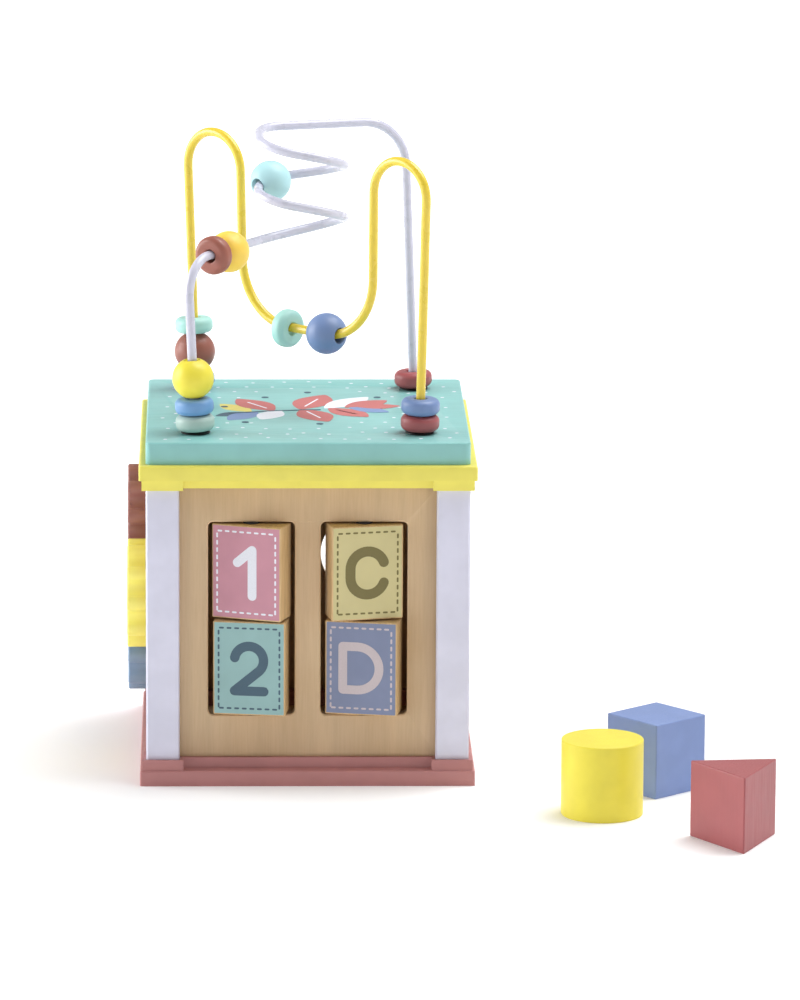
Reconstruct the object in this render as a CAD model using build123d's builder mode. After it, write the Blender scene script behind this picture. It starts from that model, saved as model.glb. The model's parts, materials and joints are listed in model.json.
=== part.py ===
"""Wooden activity cube: bead maze lid, gear side, spinning block window, shape sorter back, loose shapes.

Millimetres, +Z up. The origin is the centre of the cube's footprint, on the surface it stands on.
The spinning block window faces -Y, the gears -X, the sorter holes +Y.
"""
import os
from math import atan2, cos, degrees, pi, radians, sin, sqrt

from build123d import *

# ---------------------------------------------------------------- driving dimensions
CUBE_W = 155.0  # over the outer faces of the corner posts
POST = 16.0  # corner post section, square
POST_EDGE = 0.8  # eased long edges of a post
SOCKET_D = 6.0  # how deep a post stands in its socket
FLANGE_H = 7.5  # height of the base frame's flange
FLANGE_OUT = 3.0  # flange beyond the posts
FLANGE_CORNER = 1.0  # radius of the flange's upright corners
FLANGE_EDGE = 0.8  # radius of its top edge
BOSS_H = 5.0  # corner boss and rail above the flange, and below the top frame's band
BOSS_WALL = 1.9  # boss beyond the post, each side
RAIL_SET = 4.0  # rail's outer face inside the posts' outer faces
RAIL_W = 11.0  # rail width
FRAME_WEB = 3.0  # width of the frames' rim inside the rails
PANEL_T = 6.0  # panel thickness
PANEL_SET = 6.5  # panel's outer face inside the posts' outer faces
PANEL_H = 132.5  # visible panel height between the rails
GROOVE_D = 3.0  # depth of the grooves that hold the panels
BOARD_T = 5.0  # base board thickness
BOARD_REBATE = 5.0  # how far the base board laps under the frame
BAND_H = 7.2  # top frame's upper band
BAND_OUT = 3.3  # band beyond the posts
BAND_EDGE = 1.2  # radius of the band's corners and top edge
LID_T = 10.8  # lid thickness
LID_CORNER = 3.0  # lid's upright corner radius
LID_EDGE = 1.0  # lid's top edge radius
LOCATOR_T = 5.0  # board under the lid that drops into the top frame
LOCATOR_CORNER = 2.0  # its upright corner radius

WINDOW_W = 41.6  # spinning block windows, two side by side
WINDOW_H = 95.0
WINDOW_SILL = 20.5  # sill above the lower rail
WINDOW_X = 27.0  # window centre from the middle
WINDOW_R = 2.5  # window corner radius
WINDOW_EASE = 0.6  # eased front edge of a window
ROD_D = 3.0  # upright rod that the spinning blocks turn on
ROD_GRIP = 6.0  # rod length held in the panel above and below a window
BLOCK_W = 35.0  # spinning block width and thickness
BLOCK_T = 15.0
BLOCK_EDGE = 0.8
WASHER_T = 0.7  # washers on the rods
WASHER_D = 8.0
BLOCK_TURNS = {"upper_left": -20.0, "lower_left": -9.0, "upper_right": 12.0, "lower_right": -11.5}

GEAR_LOBES = 10
GEAR_TIP_R = 26.4  # centre to lobe tip
LOBE_R = 3.8  # round of a lobe and of a valley
GEAR_T = 10.0
GEAR_STANDOFF = 6.0  # spacer between the panel and a gear
GEAR_Y = -20.0  # middle gear
GEAR_Z = 81.5
GEAR_STEP_Y = 37.0  # from the middle gear's centre to the two others
GEAR_STEP_Z = 30.3
PIN_D = 8.0
PIN_HEAD_D = 13.0
PIN_HEAD_T = 2.6
PIN_TAIL = 4.0  # pin beyond the panel's inner face
PIN_EDGE = 0.8  # radius round a pin's head
SPACER_D = 15.0

WIRE_D = 4.4  # coated steel wire
WIRE_HOLE = 53.7  # wire holes from the middle, in X and Y
WIRE_TAIL = 5.0  # wire below the locating board
COLLAR_D = 14.0
COLLAR_H = 0.8
END_NUT_D = 10.0
END_NUT_T = 3.0
BALL_D = 20.0
BALL_BORE = WIRE_D + 3.2
DISC_D = 18.6
DISC_T = 7.7
DISC_ROUND = 3.0
DISC_BORE = WIRE_D + 2.0

CYLINDER_D = 39.0  # loose shapes
SQUARE_W = 33.3
TRIANGLE_SIDE = 41.0
SHAPE_H = 36.5
SHAPE_EDGE = 0.6
CYLINDER_AT = (138.8, -131.5)
SQUARE_AT = (167.3, -83.5)
SQUARE_TURN = 41.5
TRIANGLE_AT = (198.8, -183.0)
TRIANGLE_TURN = 34.4  # direction of one corner, from +X
CIRCLE_HOLE = (28.7, 81.7)  # sorter holes: middle of each, X and Z
SQUARE_HOLE = (-26.0, 60.0)
TRIANGLE_HOLE = (-14.0, 112.0)

# ---------------------------------------------------------------- clearances
SOCKET_FIT = 0.05  # each side, between posts, panels and what holds them
LOCATOR_FIT = 0.3  # each side, lid locating board in the top frame
RUN_FIT = 0.06  # radial, turning parts on rods and pins
FIXED_FIT = 0.02  # radial, pieces that are pressed or glued on
WIRE_FIT = 0.3  # radial, wire in the lid
LIFT = 0.1  # between faces that slide past each other
BEAD_GAP = 0.3  # between beads
COLLAR_GAP = 0.5  # between a collar and the lowest bead of a leg, which leans
SORT_FIT = 1.0  # each side, loose shape in its hole

# ---------------------------------------------------------------- places worked out from them
HALF = CUBE_W / 2
POST_AT = HALF - POST / 2
POST_IN = HALF - POST
BOSS = POST + 2 * BOSS_WALL
RAIL_OUT = HALF - RAIL_SET
RAIL_IN = RAIL_OUT - RAIL_W
OPENING = RAIL_IN - FRAME_WEB
PANEL_OUT = HALF - PANEL_SET
PANEL_MID = PANEL_OUT - PANEL_T / 2
RAIL_TOP = FLANGE_H + BOSS_H
BAND_LOW = RAIL_TOP + PANEL_H
BAND_MID = BAND_LOW + BOSS_H
BAND_TOP = BAND_MID + BAND_H
LID_TOP = BAND_TOP + LID_T
LOCATOR_LOW = BAND_TOP - LOCATOR_T
POST_LOW = RAIL_TOP - SOCKET_D
POST_TOP = BAND_LOW + SOCKET_D
WINDOW_LOW = RAIL_TOP + WINDOW_SILL
BLOCK_H = (WINDOW_H - 3 * WASHER_T - 6 * LIFT) / 2
CORNERS = [(x, y) for x in (-1, 1) for y in (-1, 1)]

os.makedirs("parts", exist_ok=True)


def write(piece, name):
    """Label a finished sub-part and write its STEP file."""
    piece.part.label = name
    export_step(piece.part, f"parts/{name}.step")


# ---------------------------------------------------------------- screws
SCREW_INSET = 0.2  # screw heads below the surface
SCREW_D = 4.0
SCREW_HEAD_D = 8.0
SCREW_HEAD_T = 2.4
SCREW_L = 26.0
SMALL_SCREW_D = 2.6
SMALL_HEAD_D = 5.2
SMALL_HEAD_T = 1.6
SMALL_SCREW_L = 11.0
SCREW_COVER = 1.0  # wood left beyond a board screw's tip
POST_SCREWS = [(x * POST_AT, y * POST_AT) for x, y in CORNERS]
BOARD_SCREW_AT = OPENING + BOARD_REBATE / 2
BOARD_SCREWS = [(BOARD_SCREW_AT, 0), (-BOARD_SCREW_AT, 0), (0, BOARD_SCREW_AT), (0, -BOARD_SCREW_AT)]
LOCATOR_SCREWS = [(x * OPENING / 2, y * OPENING / 2) for x, y in CORNERS]
BOARD_SCREW_L = FLANGE_H + BOSS_H - GROOVE_D - SCREW_COVER


def screw_profile(shank_d, head_d, head_t, length, fit):
    """Half section of a countersunk screw with its head at the origin.

    With a fit it is the screw's hole, open to the face.
    """
    shank = shank_d / 2 + fit
    head = head_d / 2 + fit
    mouth = [(0, -SCREW_INSET), (head, -SCREW_INSET)] if fit else [(0, 0)]
    Polyline(*mouth, (head, 0), (shank, head_t), (shank, length + fit), (0, length + fit), close=True)


def screws(spots, z, up, sizes, fit, mode):
    """Screws, or the holes for them, at the spots; up is 1 when they point up and -1 when they point down."""
    with Locations(*[Location((x, y, z), (0 if up > 0 else 180, 0, 0)) for x, y in spots]):
        with BuildSketch(Plane.XZ, mode=Mode.PRIVATE) as half:
            with BuildLine():
                screw_profile(*sizes, fit)
            make_face()
        add(revolve(half.sketch, Axis.Z, mode=Mode.PRIVATE), mode=mode)


BIG_SCREW = (SCREW_D, SCREW_HEAD_D, SCREW_HEAD_T, SCREW_L)
BOARD_SCREW = (SMALL_SCREW_D, SMALL_HEAD_D, SMALL_HEAD_T, BOARD_SCREW_L)
LOCATOR_SCREW = (SMALL_SCREW_D, SMALL_HEAD_D, SMALL_HEAD_T, SMALL_SCREW_L)

with BuildPart() as post_screws:
    screws(POST_SCREWS, SCREW_INSET, 1, BIG_SCREW, 0, Mode.ADD)
write(post_screws, "post_screws")

with BuildPart() as top_screws:
    screws(POST_SCREWS, BAND_TOP - SCREW_INSET, -1, BIG_SCREW, 0, Mode.ADD)
write(top_screws, "top_frame_screws")

with BuildPart() as board_screws:
    screws(BOARD_SCREWS, SCREW_INSET, 1, BOARD_SCREW, 0, Mode.ADD)
write(board_screws, "base_board_screws")

with BuildPart() as locator_screws:
    screws(LOCATOR_SCREWS, LOCATOR_LOW + SCREW_INSET, 1, LOCATOR_SCREW, 0, Mode.ADD)
write(locator_screws, "locating_board_screws")


# ---------------------------------------------------------------- base and top frames
def rails_and_bosses(low, height):
    """The recessed rails between four corner bosses, standing on plane low."""
    with BuildSketch(Plane.XY.offset(low)) as plan:
        Rectangle(2 * RAIL_OUT, 2 * RAIL_OUT)
        with Locations(*POST_SCREWS):
            Rectangle(BOSS, BOSS)
    extrude(plan.sketch, amount=height)


def post_sockets(low, height):
    """Square sockets that the posts stand in."""
    side = POST + 2 * SOCKET_FIT
    with Locations(*[(x, y, low) for x, y in POST_SCREWS]):
        Box(side, side, height, align=(Align.CENTER, Align.CENTER, Align.MIN), mode=Mode.SUBTRACT)


def panel_grooves(low, height):
    """Grooves in the four rails for the panels' top and bottom edges."""
    width = PANEL_T + 2 * SOCKET_FIT
    length = 2 * POST_IN + 2 * GROOVE_D
    low_centre = (Align.CENTER, Align.CENTER, Align.MIN)
    with Locations((0, PANEL_MID, low), (0, -PANEL_MID, low)):
        Box(length, width, height, align=low_centre, mode=Mode.SUBTRACT)
    with Locations((PANEL_MID, 0, low), (-PANEL_MID, 0, low)):
        Box(width, length, height, align=low_centre, mode=Mode.SUBTRACT)


with BuildPart() as base_frame:
    with BuildSketch():
        Rectangle(2 * (HALF + FLANGE_OUT), 2 * (HALF + FLANGE_OUT))
    extrude(amount=FLANGE_H)
    flange_rim = base_frame.edges().filter_by(Axis.Z)
    fillet(flange_rim, FLANGE_CORNER)
    fillet(base_frame.faces().sort_by(Axis.Z)[-1].edges(), FLANGE_EDGE)
    rails_and_bosses(FLANGE_H, BOSS_H)
    with BuildSketch():
        Rectangle(2 * OPENING, 2 * OPENING)
    extrude(amount=RAIL_TOP, mode=Mode.SUBTRACT)
    with BuildSketch():
        Rectangle(2 * (OPENING + BOARD_REBATE), 2 * (OPENING + BOARD_REBATE))
    extrude(amount=BOARD_T + LIFT, mode=Mode.SUBTRACT)
    post_sockets(POST_LOW, SOCKET_D)
    panel_grooves(RAIL_TOP - GROOVE_D, GROOVE_D)
    screws(POST_SCREWS, SCREW_INSET, 1, BIG_SCREW, FIXED_FIT, Mode.SUBTRACT)
    screws(BOARD_SCREWS, SCREW_INSET, 1, BOARD_SCREW, FIXED_FIT, Mode.SUBTRACT)
write(base_frame, "base_frame")

with BuildPart() as base_board:
    with BuildSketch():
        Rectangle(2 * (OPENING + BOARD_REBATE - LIFT), 2 * (OPENING + BOARD_REBATE - LIFT))
    extrude(amount=BOARD_T)
    screws(BOARD_SCREWS, SCREW_INSET, 1, BOARD_SCREW, FIXED_FIT, Mode.SUBTRACT)
write(base_board, "base_board")

with BuildPart() as top_frame:
    with BuildSketch(Plane.XY.offset(BAND_MID)):
        Rectangle(2 * (HALF + BAND_OUT), 2 * (HALF + BAND_OUT))
    extrude(amount=BAND_H)
    fillet(top_frame.edges().filter_by(Axis.Z), BAND_EDGE)
    fillet(top_frame.faces().sort_by(Axis.Z)[-1].edges(), BAND_EDGE)
    rails_and_bosses(BAND_LOW, BOSS_H)
    with BuildSketch(Plane.XY.offset(BAND_LOW)):
        Rectangle(2 * OPENING, 2 * OPENING)
    extrude(amount=BOSS_H + BAND_H, mode=Mode.SUBTRACT)
    post_sockets(BAND_LOW, SOCKET_D)
    panel_grooves(BAND_LOW, GROOVE_D)
    screws(POST_SCREWS, BAND_TOP - SCREW_INSET, -1, BIG_SCREW, FIXED_FIT, Mode.SUBTRACT)
write(top_frame, "top_frame")


# ---------------------------------------------------------------- corner posts
def corner_post(side_x, side_y):
    """A post with a groove in each of its two inner faces."""
    width = PANEL_T + 2 * SOCKET_FIT
    height = POST_TOP - POST_LOW
    middle = (POST_LOW + POST_TOP) / 2
    with BuildPart() as post:
        with Locations((side_x * POST_AT, side_y * POST_AT, middle)):
            Box(POST, POST, height)
        chamfer(post.edges().filter_by(Axis.Z), POST_EDGE)
        with Locations((side_x * POST_IN, side_y * PANEL_MID, middle)):
            Box(2 * GROOVE_D, width, height, mode=Mode.SUBTRACT)
        with Locations((side_x * PANEL_MID, side_y * POST_IN, middle)):
            Box(width, 2 * GROOVE_D, height, mode=Mode.SUBTRACT)
        screws(POST_SCREWS, SCREW_INSET, 1, BIG_SCREW, FIXED_FIT, Mode.SUBTRACT)
        screws(POST_SCREWS, BAND_TOP - SCREW_INSET, -1, BIG_SCREW, FIXED_FIT, Mode.SUBTRACT)
    return post


for side_x, side_y in CORNERS:
    post_name = f"corner_post_{'front' if side_y < 0 else 'back'}_{'left' if side_x < 0 else 'right'}"
    write(corner_post(side_x, side_y), post_name)

# ---------------------------------------------------------------- panels
PANEL_W = 2 * min(POST_IN + GROOVE_D - SOCKET_FIT, PANEL_OUT - PANEL_T - LIFT)
PANEL_FULL_H = PANEL_H + 2 * (GROOVE_D - SOCKET_FIT)
PANEL_Z = RAIL_TOP + PANEL_H / 2
ROD_LOW = WINDOW_LOW - ROD_GRIP
ROD_HIGH = WINDOW_LOW + WINDOW_H + ROD_GRIP
low_align = (Align.CENTER, Align.CENTER, Align.MIN)
ROD_SPOTS = [(x * WINDOW_X, -PANEL_MID, ROD_LOW) for x in (-1, 1)]

with BuildPart() as front_panel:
    with Locations((0, -PANEL_MID, PANEL_Z)):
        Box(PANEL_W, PANEL_T, PANEL_FULL_H)
    with BuildSketch(Plane.XZ.offset(PANEL_MID)):
        with Locations(*[(x * WINDOW_X, WINDOW_LOW + WINDOW_H / 2) for x in (-1, 1)]):
            RectangleRounded(WINDOW_W, WINDOW_H, WINDOW_R)
    extrude(amount=PANEL_T, both=True, mode=Mode.SUBTRACT)
    front_rim = front_panel.faces().sort_by(Axis.Y)[0].inner_wires()
    chamfer([edge for wire in front_rim for edge in wire.edges()], WINDOW_EASE)
    with Locations(*ROD_SPOTS):
        Cylinder(ROD_D / 2 + FIXED_FIT, ROD_HIGH - ROD_LOW + LIFT, align=low_align, mode=Mode.SUBTRACT)
write(front_panel, "front_panel")

GEAR_SPOTS = {
    "middle": (GEAR_Y, GEAR_Z),
    "upper": (GEAR_Y + GEAR_STEP_Y, GEAR_Z + GEAR_STEP_Z),
    "lower": (GEAR_Y + GEAR_STEP_Y, GEAR_Z - GEAR_STEP_Z),
}
with BuildPart() as left_panel:
    with Locations((-PANEL_MID, 0, PANEL_Z)):
        Box(PANEL_T, PANEL_W, PANEL_FULL_H)
    with BuildSketch(Plane.YZ.offset(-PANEL_MID)):
        with Locations(*GEAR_SPOTS.values()):
            Circle(PIN_D / 2 + FIXED_FIT)
    extrude(amount=PANEL_T, both=True, mode=Mode.SUBTRACT)
write(left_panel, "left_panel")

with BuildPart() as right_panel:
    with Locations((PANEL_MID, 0, PANEL_Z)):
        Box(PANEL_T, PANEL_W, PANEL_FULL_H)
write(right_panel, "right_panel")

TRIANGLE_HOLE_SIDE = TRIANGLE_SIDE + 2 * sqrt(3) * SORT_FIT
with BuildPart() as back_panel:
    with Locations((0, PANEL_MID, PANEL_Z)):
        Box(PANEL_W, PANEL_T, PANEL_FULL_H)
    with BuildSketch(Plane.XZ.offset(-PANEL_MID)):
        with Locations(CIRCLE_HOLE):
            Circle(CYLINDER_D / 2 + SORT_FIT)
        with Locations(SQUARE_HOLE):
            RectangleRounded(SQUARE_W + 2 * SORT_FIT, SQUARE_W + 2 * SORT_FIT, SHAPE_EDGE)
        with Locations(TRIANGLE_HOLE):
            RegularPolygon(TRIANGLE_HOLE_SIDE / sqrt(3), 3, rotation=90)
    extrude(amount=PANEL_T, both=True, mode=Mode.SUBTRACT)
write(back_panel, "back_panel")

# ---------------------------------------------------------------- spinning blocks
for side, rod_spot in zip(("left", "right"), ROD_SPOTS):
    with BuildPart() as rod:
        with Locations(rod_spot):
            Cylinder(ROD_D / 2, ROD_HIGH - ROD_LOW, align=low_align)
    write(rod, f"block_rod_{side}")

WASHER_LEVELS = [WINDOW_LOW + step * (WASHER_T + BLOCK_H + 2 * LIFT) for step in range(3)]
with BuildPart() as washers:
    with Locations(*[(x * WINDOW_X, -PANEL_MID, z) for x in (-1, 1) for z in WASHER_LEVELS]):
        Cylinder(WASHER_D / 2, WASHER_T, align=low_align)
        Cylinder(ROD_D / 2 + FIXED_FIT, WASHER_T, align=low_align, mode=Mode.SUBTRACT)
write(washers, "block_washers")


def spinning_block(place):
    """A flat block on its rod, turned to where it was left."""
    x = -WINDOW_X if "left" in place else WINDOW_X
    z = WASHER_LEVELS[1 if "upper" in place else 0] + WASHER_T + LIFT
    with BuildPart(Location((x, -PANEL_MID, z), (0, 0, BLOCK_TURNS[place]))) as block:
        Box(BLOCK_W, BLOCK_T, BLOCK_H, align=low_align)
        fillet(block.edges(), BLOCK_EDGE)
        Cylinder(ROD_D / 2 + RUN_FIT, BLOCK_H, align=low_align, mode=Mode.SUBTRACT)
    return block


for block_place in BLOCK_TURNS:
    write(spinning_block(block_place), f"block_{block_place}")

# ---------------------------------------------------------------- gears on the left side
GEAR_BACK = -(PANEL_OUT + GEAR_STANDOFF)
GEAR_FRONT = GEAR_BACK - GEAR_T
HALF_PITCH = 180 / GEAR_LOBES
TIP_CENTRE = GEAR_TIP_R - LOBE_R
VALLEY_CENTRE = TIP_CENTRE * cos(radians(HALF_PITCH)) + sqrt(
    (2 * LOBE_R) ** 2 - (TIP_CENTRE * sin(radians(HALF_PITCH))) ** 2
)
VALLEY_R = VALLEY_CENTRE - LOBE_R


def polar(radius, angle):
    return Vector(radius * cos(radians(angle)), radius * sin(radians(angle)))


def gear_outline(first_tip):
    """Round lobes and round valleys, tangent to each other, with a lobe at angle first_tip."""
    for lobe in range(GEAR_LOBES):
        at = first_tip + 2 * HALF_PITCH * lobe
        tip = polar(TIP_CENTRE, at)
        before = (tip + polar(VALLEY_CENTRE, at - HALF_PITCH)) / 2
        after = (tip + polar(VALLEY_CENTRE, at + HALF_PITCH)) / 2
        next_before = (polar(VALLEY_CENTRE, at + HALF_PITCH) + polar(TIP_CENTRE, at + 2 * HALF_PITCH)) / 2
        ThreePointArc(before, polar(GEAR_TIP_R, at), after)
        ThreePointArc(after, polar(VALLEY_R, at + HALF_PITCH), next_before)


def gear_first_tip(place):
    """The middle gear has a lobe along +Y; the others are turned into mesh with it."""
    if place == "middle":
        return 0.0
    spot = GEAR_SPOTS[place]
    line = degrees(atan2(spot[1] - GEAR_Z, spot[0] - GEAR_Y))
    return 180 + 2 * line + HALF_PITCH


def wave_gear(place):
    plane = Plane.YZ.offset(GEAR_BACK)
    plane.origin = Vector(GEAR_BACK, *GEAR_SPOTS[place])
    with BuildPart() as gear:
        with BuildSketch(plane):
            with BuildLine():
                gear_outline(gear_first_tip(place))
            make_face()
        extrude(amount=-GEAR_T)
        with BuildSketch(plane.offset(-GEAR_T)):
            Circle(PIN_HEAD_D / 2 + RUN_FIT)
        extrude(amount=PIN_HEAD_T + LIFT, mode=Mode.SUBTRACT)
        with BuildSketch(plane):
            Circle(PIN_D / 2 + RUN_FIT)
        extrude(amount=-GEAR_T, mode=Mode.SUBTRACT)
    return gear


def gear_pin(place):
    plane = Plane.YZ.offset(GEAR_FRONT)
    plane.origin = Vector(GEAR_FRONT, *GEAR_SPOTS[place])
    with BuildPart() as pin:
        with BuildSketch(plane):
            Circle(PIN_HEAD_D / 2)
        extrude(amount=PIN_HEAD_T)
        with BuildSketch(plane):
            Circle(PIN_D / 2)
        extrude(amount=GEAR_T + GEAR_STANDOFF + PANEL_T + PIN_TAIL)
        fillet(pin.faces().sort_by(Axis.X)[0].edges(), PIN_EDGE)
    return pin


for gear_place in GEAR_SPOTS:
    write(wave_gear(gear_place), f"gear_{gear_place}")
    write(gear_pin(gear_place), f"gear_pin_{gear_place}")

with BuildPart() as spacers:
    with BuildSketch(Plane.YZ.offset(-PANEL_OUT)):
        with Locations(*GEAR_SPOTS.values()):
            Circle(SPACER_D / 2)
            Circle(PIN_D / 2 + FIXED_FIT, mode=Mode.SUBTRACT)
    extrude(amount=-(GEAR_STANDOFF - LIFT))
write(spacers, "gear_spacers")

# ---------------------------------------------------------------- bead wires
WIRE_LOW = LOCATOR_LOW - WIRE_TAIL
YELLOW_END = WIRE_HOLE * sqrt(2)


def on_diagonal(along, z):
    """A point of the yellow wire's upright plane, from the back left corner to the front right one."""
    return (along / sqrt(2), -along / sqrt(2), z)


# bends of the yellow wire: (distance along the diagonal, height above the lid's top, bend radius)
YELLOW_BENDS = [
    (-82.3, 129.6, 17.8),
    (-45.7, 129.6, 17.8),
    (-42.9, 39.6, 31.0),
    (44.4, 39.6, 31.0),
    (44.9, 130.0, 17.0),
    (79.9, 130.0, 17.0),
]
# bends of the white wire: (x, y, height above the lid's top, bend radius)
WHITE_BENDS = [
    (-57.5, -53.0, 83.0, 18.0),
    (-18.0, 8.0, 84.0, 30.0),
    (18.0, 21.0, 90.5, 14.5),
    (18.0, -19.0, 99.5, 18.2),
    (-23.5, -19.0, 107.0, 18.2),
    (-23.5, 19.0, 110.5, 18.2),
    (18.0, 19.0, 116.5, 18.2),
    (18.0, -19.0, 125.0, 18.2),
    (-23.0, -19.0, 132.5, 17.5),
    (-23.0, 18.0, 136.5, 17.5),
    (48.5, 51.0, 134.5, 24.0),
]
yellow_points = [on_diagonal(along, LID_TOP + up) for along, up, bend in YELLOW_BENDS]
yellow_points.insert(0, on_diagonal(-YELLOW_END, LID_TOP))
yellow_points.append(on_diagonal(YELLOW_END, LID_TOP))
white_points = [(x, y, LID_TOP + up) for x, y, up, bend in WHITE_BENDS]
white_points.insert(0, (-WIRE_HOLE, -WIRE_HOLE, LID_TOP))
white_points.append((WIRE_HOLE, WIRE_HOLE, LID_TOP))


def lengthen(points):
    """The wire's points with both ends run on through the lid, below the locating board."""
    out = [Vector(*point) for point in points]
    for end, inner in ((0, 1), (-1, -2)):
        leg = (out[end] - out[inner]).normalized()
        out[end] = out[end] + leg * ((WIRE_LOW - LID_TOP) / leg.Z)
    return out


def bent_wire(points, bends):
    with BuildPart() as wire:
        with BuildLine() as path:
            FilletPolyline(*lengthen(points), radius=[bend[-1] for bend in bends])
        with BuildSketch(Plane(origin=path.line @ 0, z_dir=path.line % 0)):
            Circle(WIRE_D / 2)
        sweep()
    return wire, sum(edge.length for edge in path.edges())


yellow_wire, yellow_length = bent_wire(yellow_points, YELLOW_BENDS)
white_wire, white_length = bent_wire(white_points, WHITE_BENDS)
write(yellow_wire, "bead_wire_yellow")
write(white_wire, "bead_wire_white")
for wire_piece, wire_length in ((yellow_wire, yellow_length), (white_wire, white_length)):
    round_area = pi * (WIRE_D / 2) ** 2
    print("wire length", wire_length, "volume share", wire_piece.part.volume / (round_area * wire_length))


def leg_plane(points, end, up=0.0):
    """Plane on a wire's leg, up above the lid's top, with Z along the leg."""
    foot = Vector(*points[end])
    leg = (Vector(*points[1 if end == 0 else -2]) - foot).normalized()
    return Plane(origin=foot + leg * up, z_dir=leg)


LEGS = {
    "front_left": leg_plane(white_points, 0),
    "back_right": leg_plane(white_points, -1),
    "back_left": leg_plane(yellow_points, 0),
    "front_right": leg_plane(yellow_points, -1),
}
LEG_SPOTS = [(leg.origin.X, leg.origin.Y) for leg in LEGS.values()]
BORE_L = 2 * (LID_TOP - WIRE_LOW)  # a bore reaches past the lid, its board and the collars


def leg_bores(radius):
    """Slanted bores along the four legs, through whatever part is being made."""
    for leg in LEGS.values():
        with Locations(leg.location):
            Cylinder(radius, BORE_L, mode=Mode.SUBTRACT)


# ---------------------------------------------------------------- lid
with BuildPart() as lid:
    with BuildSketch(Plane.XY.offset(BAND_TOP)):
        RectangleRounded(CUBE_W, CUBE_W, LID_CORNER)
    extrude(amount=LID_T)
    fillet(lid.faces().sort_by(Axis.Z)[-1].edges(), LID_EDGE)
    leg_bores(WIRE_D / 2 + WIRE_FIT)
    screws(LOCATOR_SCREWS, LOCATOR_LOW + SCREW_INSET, 1, LOCATOR_SCREW, FIXED_FIT, Mode.SUBTRACT)
write(lid, "lid")

with BuildPart() as locator:
    with BuildSketch(Plane.XY.offset(LOCATOR_LOW)):
        RectangleRounded(2 * (OPENING - LOCATOR_FIT), 2 * (OPENING - LOCATOR_FIT), LOCATOR_CORNER)
    extrude(amount=LOCATOR_T)
    leg_bores(WIRE_D / 2 + WIRE_FIT)
    screws(LOCATOR_SCREWS, LOCATOR_LOW + SCREW_INSET, 1, LOCATOR_SCREW, FIXED_FIT, Mode.SUBTRACT)
write(locator, "lid_locating_board")

with BuildPart() as collars:
    with Locations(*[(x, y, LID_TOP) for x, y in LEG_SPOTS]):
        Cylinder(COLLAR_D / 2, COLLAR_H, align=low_align)
    leg_bores(WIRE_D / 2 + FIXED_FIT)
write(collars, "wire_collars")

with BuildPart() as end_nuts:
    for leg in LEGS.values():
        spot = leg.origin + leg.z_dir * ((LOCATOR_LOW - LIFT - END_NUT_T - LID_TOP) / leg.z_dir.Z)
        with Locations((spot.X, spot.Y, spot.Z)):
            Cylinder(END_NUT_D / 2, END_NUT_T, align=low_align)
    leg_bores(WIRE_D / 2 + FIXED_FIT)
write(end_nuts, "wire_end_nuts")


# ---------------------------------------------------------------- beads
def ball(plane):
    with BuildPart(plane) as bead:
        Sphere(BALL_D / 2)
        Cylinder(BALL_BORE / 2, BALL_D, mode=Mode.SUBTRACT)
    return bead


def disc(plane):
    with BuildPart(plane) as bead:
        Cylinder(DISC_D / 2, DISC_T)
        fillet(bead.edges().filter_by(GeomType.CIRCLE), DISC_ROUND)
        Cylinder(DISC_BORE / 2, DISC_T, mode=Mode.SUBTRACT)
    return bead


BALL_L = sqrt(BALL_D**2 - BALL_BORE**2)  # a ball's length along its bore
# beads on the four legs, from the lid up
STACKS = {
    "front_left": ["disc_pale", "disc_blue", "ball_yellow"],
    "back_left": ["disc_blue", "ball_plum", "disc_mint"],
    "front_right": ["disc_rose", "disc_blue"],
    "back_right": ["disc_rose"],
}
for corner, stack in STACKS.items():
    up = COLLAR_H + COLLAR_GAP
    for shape in stack:
        length = BALL_L if shape.startswith("ball") else DISC_T
        bead_plane = LEGS[corner].offset(up + length / 2)
        write(ball(bead_plane) if shape.startswith("ball") else disc(bead_plane), f"bead_{corner}_{shape}")
        up += length + BEAD_GAP


def bend_of(points, bends, corner):
    """Centre, radius, half turn and ways in and out of the bend at a corner of a wire."""
    at = Vector(*points[corner])
    way_in = (at - Vector(*points[corner - 1])).normalized()
    way_out = (Vector(*points[corner + 1]) - at).normalized()
    radius = bends[corner - 1][-1]
    half_turn = radians(way_in.get_angle(way_out)) / 2
    centre = at + (way_out - way_in).normalized() * (radius / cos(half_turn))
    return centre, radius, half_turn, way_in, way_out


# how far a bead sits towards the centre of its bend so that the curved wire passes its straight bore
LOW_DISC_LIFT = -0.7
LOW_BALL_LIFT = 0.25
COIL_BALL_LIFT = 1.25
LOW_CORNERS = (3, 4)  # corners of the yellow wire at the ends of its low run
COIL_CORNER = 6  # back left corner of the white wire's coil


def low_plane(corner, lift):
    """Plane of a bead under the centre of one of the yellow wire's low bends."""
    centre, radius, half_turn, way_in, way_out = bend_of(yellow_points, YELLOW_BENDS, corner)
    return Plane(origin=centre - Vector(0, 0, radius - lift), z_dir=Vector(1, -1, 0))


write(disc(low_plane(LOW_CORNERS[0], LOW_DISC_LIFT)), "bead_low_disc_mint")
write(ball(low_plane(LOW_CORNERS[1], LOW_BALL_LIFT)), "bead_low_ball_blue")

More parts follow.
